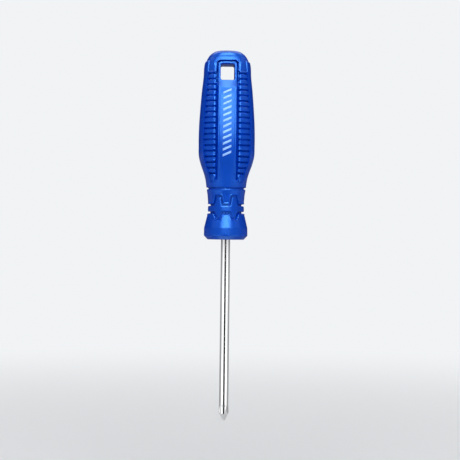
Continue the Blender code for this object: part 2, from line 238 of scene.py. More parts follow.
bump = add_node(
    tree, "ShaderNodeBump", {"Height": relief.outputs[0], "Strength": 0.12, "Distance": 0.02 * MM}
)
tree.links.new(colour.outputs[2], shader.inputs["Base Color"])
tree.links.new(metallic.outputs["Result"], shader.inputs["Metallic"])
tree.links.new(rough.outputs[0], shader.inputs["Roughness"])
tree.links.new(bump.outputs["Normal"], shader.inputs["Normal"])
add_piece("blade_bar", blade_points, blade_faces, chrome, sharp=35, node="blade")

# Handle core: hard polypropylene moulded round the tang before anything else. It is wholly inside the
# handle, so the solid that the frame brings stays as it is and only gets its plain moulded finish.

CORE_SPECKS = 0.9  # to the millimetre, from the pigment's uneven mixing
core_plastic, tree, shader, place = new_material("hard_polypropylene_core")
speckle = add_node(
    tree, "ShaderNodeTexNoise", {"Vector": place, "Scale": CORE_SPECKS / MM, "Detail": 3}
).outputs["Fac"]
shade = add_node(
    tree,
    "ShaderNodeMix",
    {"Factor": speckle, 6: linear("#12285A"), 7: linear("#1B3A7C")},
    data_type="RGBA",
)
tree.links.new(shade.outputs[2], shader.inputs["Base Color"])
shader.inputs["Roughness"].default_value = 0.55
core_materials = frame["nodes"]["handle_core"].data.materials
core_materials.clear()
core_materials.append(core_plastic)

# Handle shell: the outer moulding in glossy blue polypropylene. A steel tool forms its bulged body, the
# front and back panels with their grooves, the side rails, the thinned hang eye and the turned neck.

OUTLINE = (  # height, half width, half depth, squareness of the section
    (28.8, 10.95, 10.95, 2.0),
    (31.0, 11.2, 11.1, 2.0),
    (34.0, 11.75, 11.4, 2.08),
    (37.0, 12.65, 11.9, 2.15),
    (41.0, 14.1, 12.6, 2.25),
    (45.5, 15.25, 13.2, 2.3),
    (52.0, 15.5, 13.5, 2.3),
    (62.0, 15.4, 13.1, 2.3),
    (72.0, 14.8, 12.2, 2.3),
    (82.0, 14.0, 11.0, 2.3),
    (90.0, 13.15, 9.9, 2.35),
    (95.0, 12.9, 9.35, 2.4),
    (97.2, 12.55, 9.05, 2.4),
    (98.2, 12.2, 8.9, 2.4),
    (99.2, 11.8, 8.6, 2.4),
    (100.3, 11.2, 8.3, 2.4),
    (101.3, 10.5, 8.25, 2.4),
    (102.6, 9.1, 7.7, 2.35),
    (103.6, 7.2, 5.8, 2.3),
    (104.2, 5.0, 3.6, 2.2),
)
NECK = (  # height, radius
    (0, 10.0),
    (2.1, 12.0),
    (2.6, 12.05),
    (6.4, 11.97),
    (14.4, 10.05),
    (20, 9.9),
    (24.4, 10.25),
    (28.8, 10.95),
)
GRIP_START = 30.0
PANEL, EYE_PLATE, PANEL_TOP, PANEL_CORNER = 4.95, 5.12, 97.9, 1.4  # half widths, top, corner radius
DISH, DISH_LOW = 0.26, 0.2  # depth of the panel's dish, and how much deeper it gets towards the neck
GROOVE, GROOVE_DEPTH, GROOVE_START = 1.2, 2.4, (32.3, 33.4)
LEDGE = 0.95  # depth at which the strip's bed starts beside the groove
STRIPS = (31.4, 92.2)
STRIP_EDGE = ((31.4, 0.80), (34.5, 0.79), (38.0, 0.81), (41.0, 0.83), (92.2, 0.83))  # share of half width
EYE_DEPTH, EYE_RAMP = 1.9, (83.2, 86.8)
HOLE, HOLE_FROM, HOLE_TO, HOLE_CORNER, HOLE_LIP = 3.8, 87.4, 96.5, 1.1, 0.4
ARCH_SINK, SHOULDER, CHAMFER = 0.5, (97.5, 98.4), 0.45
WAIST, WAIST_FROM, WAIST_TO, WAIST_LIP = 0.95, (27.5, 27.9), (28.75, 28.45), 0.12
# The two toothed grooves of the neck: (degrees from the front or back centre, height of the middle)
UPPER_TEETH = ((0, 18.9), (12, 18.9), (17.5, 23.7), (34.5, 23.7), (45, 18.9), (90, 18.9))
LOWER_TEETH = ((0, 14.8), (12.4, 14.8), (17.5, 11.5), (29.5, 11.5), (41.7, 14.9), (90, 14.9))
TEETH_TOP, TOOTH_GROOVE, NECK_FLOOR, NECK_ARC = 26.5, 0.48, 1.4, 10.2  # the arc is unrolled at this radius
TOOTH_LIP, TOOTH_LIP_WIDTH = 0.24, 0.26


def through(points, at):
    """A smooth curve through (place, value) points: each stretch is a cubic whose end slopes are the mean
    slopes of its neighbours."""
    places, values = np.array(points, float).T
    slopes = np.gradient(values, places)
    at = np.clip(at, places[0], places[-1])
    i = np.clip(np.searchsorted(places, at, side="right") - 1, 0, len(places) - 2)
    run = places[i + 1] - places[i]
    s = (at - places[i]) / run
    return (
        (2 * s**3 - 3 * s**2 + 1) * values[i]
        + (s**3 - 2 * s**2 + s) * run * slopes[i]
        + (3 * s**2 - 2 * s**3) * values[i + 1]
        + (s**3 - s**2) * run * slopes[i + 1]
    )


def rise(at, start, end):
    """0 before start, 1 after end, and an S between them. Start may lie after end."""
    s = np.clip((at - start) / (end - start), 0, 1)
    return s * s * (3 - 2 * s)


def section(height):
    """Half width, half depth and squareness of the body: a smooth curve through the outline's rows above
    the waist, and the turned neck below it, whose rows are joined straight."""
    grip = [through([(row[0], row[k]) for row in OUTLINE], height) for k in (1, 2, 3)]
    turned = np.interp(height, *np.array(NECK, float).T)
    below = height < OUTLINE[0][0]
    return np.where(below, turned, grip[0]), np.where(below, turned, grip[1]), grip[2]


def turn_at(x, height):
    """The section angle at which the skin stands x from the middle plane."""
    half_width, _, square = section(height)
    return np.arcsin(np.clip(x / half_width, 0, 1) ** (square / 2))


def skin(turn, height, sink):
    """Points of one quarter of the body. The section is a superellipse, x = a sin^(2/n), y = -b cos^(2/n).
    Sink moves a point inwards: on the neck and the sides along the section's normal, and near the panel
    straight back, the way the tool opens."""
    a, b, n = section(height)
    x = a * np.clip(np.sin(turn), 0, 1) ** (2 / n)
    y = b * np.clip(np.cos(turn), 0, 1) ** (2 / n)
    normal_x = (x / a) ** (n - 1) / a * np.where(height < GRIP_START, 1, rise(x, 6.5, 9.5))
    normal_y = (y / b) ** (n - 1) / b
    size = np.hypot(normal_x, normal_y)
    return np.stack([x - sink * normal_x / size, -(y - sink * normal_y / size), height + 0 * x], axis=-1)


def strip_edge(height):
    """Where a grip strip meets the side rail, as a distance from the middle plane."""
    return section(height)[0] * np.interp(height, *np.array(STRIP_EDGE).T)


def beside_panel(x, height):
    """Distance outside the panel's outline, which is a strip with a round-cornered top."""
    side = PANEL + (EYE_PLATE - PANEL) * rise(height, *EYE_RAMP)
    across, up = x - (side - PANEL_CORNER), height - (PANEL_TOP - PANEL_CORNER)
    corner = np.hypot(np.maximum(across, 0), np.maximum(up, 0)) - PANEL_CORNER
    return np.where((across > 0) & (up > 0), corner, np.maximum(x - side, height - PANEL_TOP))


def beside_hole(x, height):
    """Distance outside the hang hole's outline, a rectangle with round corners."""
    across = np.abs(x) - (HOLE - HOLE_CORNER)
    up = np.abs(height - (HOLE_FROM + HOLE_TO) / 2) - ((HOLE_TO - HOLE_FROM) / 2 - HOLE_CORNER)
    outside = np.hypot(np.maximum(across, 0), np.maximum(up, 0))
    return outside + np.minimum(np.maximum(across, up), 0) - HOLE_CORNER


def above_teeth(teeth, turn, height):
    """Signed distance above the middle line of a toothed groove, measured on the neck's unrolled surface:
    the least distance to any of its straight stretches, negative below the line."""
    degrees, level = np.array(teeth, float).T
    arc = np.radians(degrees) * NECK_ARC
    at = turn * NECK_ARC
    nearest = np.full(np.shape(at), FAR)
    for k in range(len(arc) - 1):
        run, climb = arc[k + 1] - arc[k], level[k + 1] - level[k]
        s = np.clip(((at - arc[k]) * run + (height - level[k]) * climb) / (run**2 + climb**2), 0, 1)
        nearest = np.minimum(nearest, np.hypot(at - arc[k] - s * run, height - level[k] - s * climb))
    return nearest * np.sign(height - np.interp(at, arc, level))


def neck_sink(turn, height):
    """The toothed bed between its two zigzag grooves, with a low raised lip round it, and above that the
    narrow waist groove with a slight shoulder under it."""
    off_bed = np.maximum(above_teeth(UPPER_TEETH, turn, height), -above_teeth(LOWER_TEETH, turn, height))
    bed = NECK_FLOOR * rise(off_bed, TOOTH_GROOVE + 0.22, TOOTH_GROOVE - 0.08)
    lip = TOOTH_LIP * np.exp(-(((off_bed - TOOTH_GROOVE - 0.42) / TOOTH_LIP_WIDTH) ** 2))
    waist = WAIST * rise(height, *WAIST_FROM) * rise(height, *WAIST_TO)
    shoulder = WAIST_LIP * rise(height, 27.0, 27.6) * (height < 28.2)
    return np.where(height < TEETH_TOP, bed - lip, waist + shoulder)


def shell_sink(turn, x, height):
    """How far each point of the shell lies under the body's smooth skin. It is the deepest of the dished
    panel, the V groove round it, the strips' beds and the arch with its chamfer, and the hang hole's edge
    is rounded over on top of that. Below the grip it is the neck's."""
    gap = beside_panel(x, height)
    edge = strip_edge(height)
    inside = rise(gap, 0.1, -0.15)
    in_strip = (height > STRIPS[0]) & (height < STRIPS[1])
    above = rise(height, STRIPS[1] - 0.1, STRIPS[1] + 0.1)

    eye = EYE_DEPTH * np.clip((height - EYE_RAMP[0]) / (EYE_RAMP[1] - EYE_RAMP[0]), 0, 1)
    dished = rise(height, EYE_RAMP[0] + 1, EYE_RAMP[0] - 4) * rise(height, 31.5, 41.0)
    dish = (DISH + DISH_LOW * rise(height, 60, 46)) * rise(gap, -0.55, -1.15) * dished
    panel = (eye + dish) * inside

    # The groove narrows round the eye and is deepest beside it, then runs out shallow over the top.
    width = GROOVE - 0.2 * rise(height, 83, 87) - 0.4 * rise(height, 95.5, 98.5)
    depth = GROOVE_DEPTH + 0.9 * rise(height, 83, 89) - 1.2 * rise(height, 96.5, 98.2)
    started = rise(height, *GROOVE_START)
    groove = depth * (np.clip(1 - np.abs(2 * gap / width - 1), 0, 1) ** 0.7 * started)

    bed = GROOVE_DEPTH * rise(gap, GROOVE, GROOVE + 0.2) * (x < edge) * in_strip
    ledge = (LEDGE + eye) * in_strip * ((gap > width / 2) & (x < edge)) * started

    arch = ARCH_SINK * above * np.maximum(rise(x, edge + 0.08, edge - 0.08), rise(height, *SHOULDER))
    chamfer_depth = CHAMFER - 0.2 * rise(height, 96, 98.5)
    chamfer_width = 0.9 + 1.1 * rise(height, 94.5, 98.5)
    chamfer = chamfer_depth * np.clip(1 - (gap - width) / chamfer_width, 0, 1) * above
    outside_panel = (arch + chamfer) * (1 - inside)

    to_hole = np.clip(HOLE_LIP - beside_hole(x, height), 0, HOLE_LIP)
    fillet = HOLE_LIP - np.sqrt(np.clip(HOLE_LIP**2 - to_hole**2, 0, None))
    sink = np.maximum.reduce([panel, groove, bed, ledge, outside_panel]) + fillet
    return np.where(height < GRIP_START, neck_sink(turn, height), sink)


shell_heights = np.concatenate(
    [
        [0.0, 0.7, 1.4, 2.05, 2.15, 2.55, 2.65, 3.8, 5.2, 6.2, 6.35, 6.45, 6.6, 7.6, 8.6, 9.4],
        np.arange(9.9, 25.6, 0.19),
        [26.2, 26.7],
        np.arange(27.0, 29.0, 0.12),
        [29.4, 30.0, 30.8],
        [STRIPS[0] - 0.02, STRIPS[0] + 0.02, 31.7, 32.1],
        np.arange(32.3, 33.6, 0.15),
        np.arange(34.0, 81.6, 0.8),
        np.arange(82.0, 88.2, 0.2),
        np.arange(88.4, 91.6, 0.4),
        [91.8, STRIPS[1] - 0.02, STRIPS[1] + 0.02],
        np.arange(92.4, 104.2, 0.18),
    ]
)
INNER, MIDDLE, OUTER = 33, 16, 20  # columns over the panel and its grooves, the strip's bed, and the rail
INNER_WIDTH = 6.7  # how far the inner columns reach
STEP = 0.02  # how far to each side of the bed's wall a column stands
shell_level = shell_heights[:, None]
inner_limit = np.minimum(INNER_WIDTH, 0.62 * section(shell_level)[0])
strip_limit = np.maximum(strip_edge(shell_level), inner_limit + 0.5)
inner = np.linspace(0, 1, INNER + 1)[None, :] * inner_limit
middle = inner_limit + np.linspace(0, 1, MIDDLE)[None, 1:] * (strip_limit - STEP - inner_limit)
to_strip = turn_at(np.concatenate([inner, middle, strip_limit + STEP], axis=1), shell_level)
rail = to_strip[:, -1:] + np.linspace(0, 1, OUTER + 1)[None, 1:] * (math.pi / 2 - to_strip[:, -1:])
shell_turn = np.concatenate([to_strip, rail], axis=1)
shell_level = np.broadcast_to(shell_level, shell_turn.shape)
shell_width, _, shell_square = section(shell_level)
shell_x = shell_width * np.sin(shell_turn) ** (2 / shell_square)

# The hang hole is left out of the grid, and the points round it are drawn onto its outline: each moves by
# its distance from the outline along that distance's slope.
rows, quarter = shell_turn.shape
middle_x, middle_level = (
    (grid[:-1, :-1] + grid[1:, :-1] + grid[:-1, 1:] + grid[1:, 1:]) / 4 for grid in (shell_x, shell_level)
)
open_quads = beside_hole(middle_x, middle_level) < 0
touches_open = np.zeros((rows, quarter), bool)
touches_kept = np.zeros((rows, quarter), bool)
for down, across in ((0, 0), (0, 1), (1, 0), (1, 1)):
    touches_open[down : rows - 1 + down, across : quarter - 1 + across] |= open_quads
    touches_kept[down : rows - 1 + down, across : quarter - 1 + across] |= ~open_quads
rim = touches_open & touches_kept
NUDGE, DRAWS = 1e-3, 3
for _ in range(DRAWS):
    off = beside_hole(shell_x, shell_level)
    ahead = beside_hole(shell_x + NUDGE, shell_level)
    behind = beside_hole(np.abs(shell_x - NUDGE), shell_level)
    slope_x = np.where(shell_x < NUDGE, 0, (ahead - behind) / (2 * NUDGE))
    over = beside_hole(shell_x, shell_level + NUDGE)
    under = beside_hole(shell_x, shell_level - NUDGE)
    slope_z = (over - under) / (2 * NUDGE)
    shell_x = np.where(rim, shell_x - off * slope_x, shell_x)
    shell_level = np.where(rim, shell_level - off * slope_z, shell_level)
shell_turn = np.where(rim, turn_at(shell_x, shell_level), shell_turn)

front_right = skin(shell_turn, shell_level, shell_sink(shell_turn, shell_x, shell_level))


def all_round(corner):
    """Mirrors one quarter of the body into all four, running from the front centre round to the right."""
    back_right = corner[:, -2::-1] * (1, -1, 1)
    half = np.concatenate([corner, back_right], axis=1)
    return np.concatenate([half, half[:, -2:0:-1] * (-1, 1, 1)], axis=1)


outside = all_round(front_right)
columns = outside.shape[1]
open_half = np.concatenate([open_quads, open_quads[:, ::-1]], axis=1)
open_all = np.concatenate([open_half, open_half[:, ::-1]], axis=1)
outside_quads = quads(rows, columns)[~open_all.reshape(-1)]

# Sides of the hole: the rim's edges on the front, each joined to its mirror image on the back.
edges = np.concatenate([outside_quads[:, [side, (side + 1) % 4]] for side in range(4)])
_, index, times = np.unique(np.sort(edges, axis=1), axis=0, return_inverse=True, return_counts=True)
single = edges[times[index.reshape(-1)] == 1]
row_of, column_of = single // columns, single % columns
at_front = (np.minimum(column_of, columns - column_of) < quarter).all(axis=1)
in_hole = ((row_of > 0) & (row_of < rows - 1)).any(axis=1) & at_front
rim_edges = single[in_hole]
mirror = rim_edges // columns * columns + (columns // 2 - rim_edges % columns) % columns
tunnel_quads = np.stack([rim_edges[:, 1], rim_edges[:, 0], mirror[:, 0], mirror[:, 1]], axis=-1)

# Inside: a socket for the keyed core, which opens at the nose round the shank.
CORE_LOW, CORE_HIGH = ((corner[2] - NOSE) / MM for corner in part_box("handle_core"))
SOCKET, KEY_DEPTH, SOCKET_TAPER, SOCKET_GAP = 6.3, 0.35, 2.0, 0.2
SHANK_GAP, NOSE_CHAMFER = 0.08, (0.35, 0.4)
around = np.arange(columns) * 2 * math.pi / columns
keyed = SOCKET + KEY_DEPTH * np.cos(6 * around)
socket = [
    turned(keyed - SOCKET_TAPER, around, CORE_HIGH + SOCKET_GAP),
    turned(keyed, around, CORE_HIGH - SOCKET_TAPER),
    turned(keyed, around, CORE_LOW + 0.6),
    turned(keyed, around, CORE_LOW - SOCKET_GAP),
    turned(SHANK + SHANK_GAP, around, CORE_LOW - SOCKET_GAP),
    turned(SHANK + SHANK_GAP, around, NOSE_CHAMFER[0]),
    turned(SHANK + NOSE_CHAMFER[1], around, 0.0),
]
CROWN = ((0.8, 0.1), (0.55, 0.18), (0.25, 0.22))  # share of the top ring's size, height above it
crown = [outside[-1] * (share, share, 1) + (0, 0, lift) for share, lift in CROWN]
stack = np.concatenate([np.array(socket), outside, np.array(crown)])
shift = len(socket) * columns
poles = np.array([[0, 0, CORE_HIGH + SOCKET_GAP], [0, 0, stack[-1, 0, 2] + 0.01]])
inner_quads = quads(len(socket) + 1, columns)
crown_quads = quads(len(crown) + 1, columns) + (len(socket) + rows - 1) * columns
total = len(stack) * columns
shell_faces = [
    inner_quads,
    outside_quads + shift,
    tunnel_quads + shift,
    crown_quads,
    fan(np.arange(columns)[::-1], total),
    fan(np.arange(total - columns, total), total + 1),
]
shell_points = np.concatenate([stack.reshape(-1, 3), poles])
used = np.zeros(len(shell_points), bool)  # the points inside the hang hole belong to no face
for group in shell_faces:
    used[group] = True
renumber = np.cumsum(used) - 1
shell_points = shell_points[used]
shell_faces = [renumber[group] for group in shell_faces]


PIGMENT_CLOUDS, SHEEN = 0.12, "#76CEFF"


def moulded_blue(name, deep, light, roughness, grains, relief):
    """Injection-moulded blue plastic: a saturated body colour with a slight cloudiness from the pigment, a
    sky-blue sheen where it mirrors a light, and the fine grain that the spark-eroded tool leaves on it.
    Clouds and grains are given to the millimetre, and the relief in millimetres."""
    material, tree, shader, place = new_material(name)
    cloud = add_node(
        tree, "ShaderNodeTexNoise", {"Vector": place, "Scale": PIGMENT_CLOUDS / MM, "Detail": 3}
    ).outputs["Fac"]
    body = add_node(
        tree, "ShaderNodeMix", {"Factor": cloud, 6: linear(deep), 7: linear(light)}, data_type="RGBA"
    )
    grain = add_node(
        tree, "ShaderNodeTexNoise", {"Vector": place, "Scale": grains / MM, "Detail": 4}
    ).outputs["Fac"]
    spread = {"From Min": 0.3, "From Max": 0.7, "To Min": roughness - 0.03, "To Max": roughness + 0.03}
    rough = add_node(tree, "ShaderNodeMapRange", {"Value": grain, **spread})
    bump = add_node(tree, "ShaderNodeBump", {"Height": grain, "Strength": 0.3, "Distance": relief * MM})
    tree.links.new(body.outputs[2], shader.inputs["Base Color"])
    tree.links.new(rough.outputs["Result"], shader.inputs["Roughness"])
    tree.links.new(bump.outputs["Normal"], shader.inputs["Normal"])
    shader.inputs["Specular Tint"].default_value = linear(SHEEN)
    shader.inputs["Specular IOR Level"].default_value = 0.8
    shader.inputs["IOR"].default_value = 1.49
    return material


# Polypropylene moulded against a polished tool: a soft gloss, with an orange-peel grain of about 1 mm.
shell_plastic = moulded_blue("moulded_polypropylene_blue", "#0037A7", "#003BAF", 0.31, 1.0, 0.012)
add_piece("handle_moulding", shell_points, shell_faces, shell_plastic, node="handle_shell")

# Grip strips: four ribbed strips of soft elastomer moulded into beds beside the two panels. Fine cross
# grooves part the ribs, and each rib is bevelled where it faces the panel's groove.

RIB_GROOVES, RIB_PITCH, RIB_TOP, RIB_HALF_GROOVE = 19, 3.04, 91.0, 0.58
VALLEY, VALLEY_AT_RAIL, VALLEY_AT_PANEL, VALLEY_RUN = 0.9, 0.35, 0.5, 1.8
BEVEL, BEVEL_WIDTH = 0.6, 1.15
STRIP_SINK, ROLL, LOW_END, HIGH_END, EDGE_WIDTH = 0.1, 0.1, 0.12, 0.4, 0.4
FLARE, FLARE_LOW = 0.12, 0.7  # how far each rib's lower edge stands in, and how much more near the neck


def strip_sink(x, height):
    """How far a strip's face lies under the body's skin: crossed by V grooves that deepen towards both
    edges, bevelled along the panel, rolled over at its ends and along the rail, with each rib leaning."""
    from_inner, from_outer = x - (PANEL + GROOVE), strip_edge(height) - x
    phase = (RIB_TOP - height) / RIB_PITCH
    nearest = np.clip(np.round(phase), 0, RIB_GROOVES - 1)
    valley = np.clip(1 - np.abs(phase - nearest) * RIB_PITCH / RIB_HALF_GROOVE, 0, 1) ** 0.65
    depth = VALLEY + VALLEY_AT_RAIL * rise(from_outer, VALLEY_RUN, 0)
    depth = depth + VALLEY_AT_PANEL * rise(from_inner, VALLEY_RUN, 0)
    bevel = BEVEL * np.clip(1 - from_inner / BEVEL_WIDTH, 0, 1) ** 1.5
    roll = ROLL * np.clip(1 - from_outer / EDGE_WIDTH, 0, 1) ** 2
    ends = LOW_END * np.clip(1 - (height - STRIPS[0]) / EDGE_WIDTH, 0, 1) ** 2
    ends = ends + HIGH_END * np.clip(1 - (STRIPS[1] - height) / EDGE_WIDTH, 0, 1) ** 2
    flare = (FLARE + FLARE_LOW * rise(height, 56, 43)) * (1 - (phase % 1)) * rise(height, 33.0, 36.0)
    return STRIP_SINK + bevel + roll + ends + valley * depth + flare


def slab(face, back):
    """A closed slab from two like grids of points: the face, the back turned over, and a wall that follows
    the grids' border. Returns its points and its groups of faces."""
    rows, columns = face.shape[:2]
    to_back = rows * columns
    border = np.concatenate(
        [
            np.arange(columns),
            np.arange(1, rows) * columns + columns - 1,
            (rows - 1) * columns + np.arange(columns - 2, -1, -1),
            np.arange(rows - 2, 0, -1) * columns,
        ]
    )
    after = np.roll(border, -1)
    grid = quads(rows, columns, wrap_columns=False)
    wall = np.stack([after, border, border + to_back, after + to_back], axis=-1)
    points = np.concatenate([face.reshape(-1, 3), back.reshape(-1, 3)])
    return points, [grid, grid[:, ::-1] + to_back, wall]


rib_offsets = np.array([-0.6, -0.45, -0.25, -0.1, 0, 0.1, 0.25, 0.45, 0.6, 0.9, 1.3, 1.7, 2.1])
rib_middles = RIB_TOP - RIB_PITCH * np.arange(-1, RIB_GROOVES + 1)
strip_heights = (rib_middles[:, None] + rib_offsets[None, :]).reshape(-1)
strip_heights = strip_heights[(strip_heights > STRIPS[0] + 0.1) & (strip_heights < STRIPS[1] - 0.1)]
edge_rows = np.array([0.0, 0.08, 0.2])
strip_heights = np.concatenate([STRIPS[0] + edge_rows, strip_heights, STRIPS[1] - edge_rows])
strip_heights = np.unique(np.round(strip_heights, 3))
columns_at = [np.linspace(0, 0.26, 9), np.linspace(0.26, 0.86, 10)[1:], np.linspace(0.86, 1, 7)[1:]]
strip_share = np.concatenate(columns_at)
strip_level = np.broadcast_to(strip_heights[:, None], (len(strip_heights), len(strip_share)))
strip_x = PANEL + GROOVE + strip_share[None, :] * (strip_edge(strip_level) - PANEL - GROOVE)
strip_turn = turn_at(strip_x, strip_level)
face_depth = strip_sink(strip_x, strip_level)
# The back lies on the bed, and where the face comes near the bed it stays the least thickness under it.
BED_GAP, LEAST_THICK = 0.05, 0.3
near_bed = face_depth > GROOVE_DEPTH - LEAST_THICK
back_depth = np.where(near_bed, face_depth + LEAST_THICK, GROOVE_DEPTH - BED_GAP)
strip_points, strip_faces = slab(
    skin(strip_turn, strip_level, face_depth), skin(strip_turn, strip_level, back_depth)
)

# Thermoplastic elastomer: the same blue, a little duller and grainier than the shell.
strip_rubber = moulded_blue("moulded_elastomer_blue", "#0036A4", "#003AAC", 0.33, 1.4, 0.014)
for side, sign_x in (("left", -1), ("right", 1)):
    for face, sign_y in (("front", 1), ("back", -1)):
        facing = [group[:, ::-1] if sign_x * sign_y < 0 else group for group in strip_faces]
        add_piece(
            f"ribbed_strip_{face}_{side}",
            strip_points * (sign_x, sign_y, 1),
            facing,
            strip_rubber,
            sharp=60,
            node=f"grip_strip_{face}_{side}",
        )

# Neck band: a toothed ring of the same elastomer, moulded into the neck between the bell and the collar.
# Its teeth point up and down at the front and back, and a narrow groove parts it from both neighbours.

BAND_RADIUS, BAND_BED, BAND_TAPER, BAND_MIDDLE = 9.95, 8.7, 0.04, 17
BAND_ROUNDING, BAND_ROUNDING_WIDTH = 0.28, 0.5
BAND_SIDES = 480
BAND_TOP = ((0, 18.45), (14.1, 18.45), (19.6, 23.25), (32.7, 23.25), (43.2, 18.45), (90, 18.45))
BAND_BOTTOM = ((0, 15.25), (14.4, 15.25), (19.5, 11.95), (28.1, 11.95), (40.3, 15.35), (90, 15.35))
band_around = np.arange(BAND_SIDES) * 2 * math.pi / BAND_SIDES
band_turn = np.abs((band_around + math.pi / 2) % math.pi - math.pi / 2)  # from the front or back centre
rim_share = np.array([0, 0.02, 0.05, 0.09, 0.14, 0.2, 0.28, 0.36, 0.44])
band_share = np.concatenate([rim_share, [0.5], 1 - rim_share[::-1]])
band_low, band_high = (
    np.interp(np.degrees(band_turn), *np.array(edge, float).T) for edge in (BAND_BOTTOM, BAND_TOP)
)
band_level = band_low + band_share[:, None] * (band_high - band_low)
below_upper = -above_teeth(UPPER_TEETH, band_turn, band_level)
above_lower = above_teeth(LOWER_TEETH, band_turn, band_level)
from_rim = np.minimum(below_upper, above_lower) - TOOTH_GROOVE
# The face tapers upwards with the neck and rounds over towards both toothed rims.
rounding = BAND_ROUNDING * np.clip(1 - from_rim / BAND_ROUNDING_WIDTH, 0, 1) ** 1.5
face_radius = BAND_RADIUS - BAND_TAPER * (band_level - BAND_MIDDLE) - rounding
band_face = turned(face_radius, band_around, band_level)
band_bed = [turned(BAND_BED, band_around, edge) for edge in (band_high, band_low)]
band_points = np.concatenate([band_face, np.array(band_bed)])
band_faces = [quads(len(band_points), BAND_SIDES, wrap_rows=True)]
band_rubber = moulded_blue("moulded_elastomer_band_blue", "#0036A5", "#003AAD", 0.32, 1.4, 0.014)
add_piece(
    "toothed_neck_band", band_points, band_faces, band_rubber, sharp=60, node="neck_band"
)

# Panel marks: a plain row of raised slanting bars down each panel, pad printed on top in pale blue.
# They stand where a maker's lettering would be and mean nothing.

MARKS, MARK_FROM, MARK_TO = 12, 46.8, 81.0
MARK_HALF, MARK_THICK, MARK_SLANT, MARK_HEIGHT, MARK_ROUNDING = 2.35, 1.35, 0.45, 0.35, 0.3
MARK_FLOOR, MARK_FOOT = 0.22, 0.3  # depth of the dished panel under the skin, and of a bar's foot
u, v = np.meshgrid(np.linspace(-1, 1, 15), np.linspace(-1, 1, 9))
from_edge = np.minimum((1 - np.abs(u)) * MARK_HALF, (1 - np.abs(v)) * MARK_THICK / 2)
# Each bar rises from its edge in a quarter circle, squashed to the bar's height.
mark_rise = MARK_HEIGHT * np.sqrt(np.clip(1 - np.clip(1 - from_edge / MARK_ROUNDING, 0, 1) ** 2, 0, 1))
mark_x = u * MARK_HALF
mark_points, mark_faces = [], []
for middle in np.linspace(MARK_FROM, MARK_TO, MARKS):
    mark_level = middle + v * MARK_THICK / 2 + mark_x * MARK_SLANT
    mark_turn = turn_at(np.abs(mark_x), mark_level)
    top = skin(mark_turn, mark_level, MARK_FLOOR - mark_rise)
    foot = skin(mark_turn, mark_level, MARK_FOOT + 0 * u)
    for layer in (top, foot):
        layer[..., 0] = np.where(mark_x < 0, -layer[..., 0], layer[..., 0])
    bar_points, bar_faces = slab(top, foot)
    mark_faces += [group + len(bar_points) * len(mark_points) for group in bar_faces]
    mark_points.append(bar_points)
mark_points = np.concatenate(mark_points)
WORN_PATCHES = 0.7  # to the millimetre, where thumbs have thinned the ink
mark_ink, tree, shader, place = new_material("pad_printed_pale_blue")
worn = add_node(
    tree, "ShaderNodeTexNoise", {"Vector": place, "Scale": WORN_PATCHES / MM, "Detail": 4}
).outputs["Fac"]
ink = add_node(
    tree, "ShaderNodeMix", {"Factor": worn, 6: linear("#7DAEF5"), 7: linear("#9CC4FC")}, data_type="RGBA"
)
tree.links.new(ink.outputs[2], shader.inputs["Base Color"])
shader.inputs["Roughness"].default_value = 0.4
for face, sign in (("front", 1), ("back", -1)):
    add_piece(f"panel_marks_{face}", mark_points * (sign, sign, 1), mark_faces, mark_ink)

# Studio: a plain pale floor well below the hanging driver, and a pale room. The room is one world whose
# even light falls on everything, with bright softboxes and grey screens that only reflections show.

FLOOR_DROP, FLOOR_HALF = 0.06, 4.0  # metres
floor_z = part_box("blade")[0][2] - FLOOR_DROP
corners = [(FLOOR_HALF * x, FLOOR_HALF * y, floor_z) for x, y in ((-1, -1), (1, -1), (1, 1), (-1, 1))]
floor_mesh = bpy.data.meshes.new("studio_floor")
floor_mesh.from_pydata(corners, [], [(0, 1, 2, 3)])
floor = bpy.data.objects.new("studio_floor", floor_mesh)
bpy.context.scene.collection.objects.link(floor)
floor.visible_glossy = False
# Matt paint that fades, away from the driver, into the light of the sweep behind it, so no horizon shows.
BACKDROP = linear("#F1F3F5")
FADE = (0.28, 1.1)  # metres from the driver
floor_paint, tree, shader, place = new_material("matt_pale_floor_paint")
shader.inputs["Base Color"].default_value = linear("#E9EBEE")
shader.inputs["Roughness"].default_value = 0.8
distance = add_node(tree, "ShaderNodeVectorMath", {0: place}, operation="LENGTH").outputs["Value"]
fade = add_node(
    tree,
    "ShaderNodeMapRange",
    {"Value": distance, "From Min": FADE[0], "From Max": FADE[1]},
    interpolation_type="SMOOTHSTEP",
).outputs["Result"]
sweep = add_node(tree, "ShaderNodeEmission", {"Color": BACKDROP, "Strength": 1.0}).outputs[0]
blend = add_node(tree, "ShaderNodeMixShader", {0: fade, 1: shader.outputs[0], 2: sweep}).outputs[0]
tree.links.new(blend, tree.nodes["Material Output"].inputs["Surface"])
floor_mesh.materials.append(floor_paint)

world = bpy.data.worlds.new("studio_world")
world.use_nodes = True
bpy.context.scene.world = world
world.cycles.sampling_method = "NONE"  # or its sampling would bypass the split of ray kinds below
tree = world.node_tree
tree.nodes.clear()
direction = add_node(tree, "ShaderNodeTexCoord").outputs["Generated"]
split = add_node(tree, "ShaderNodeSeparateXYZ", {0: direction}).outputs
forward = add_node(tree, "ShaderNodeMath", {0: split["Y"], 1: -1.0}, operation="MULTIPLY").outputs[0]
sideways = add_node(tree, "ShaderNodeMath", {0: split["X"]}, operation="ABSOLUTE").outputs[0]
azimuth = add_node(tree, "ShaderNodeMath", {0: sideways, 1: forward}, operation="ARCTAN2").outputs[0]
elevation = add_node(tree, "ShaderNodeMath", {0: split["Z"]}, operation="ARCSINE").outputs[0]


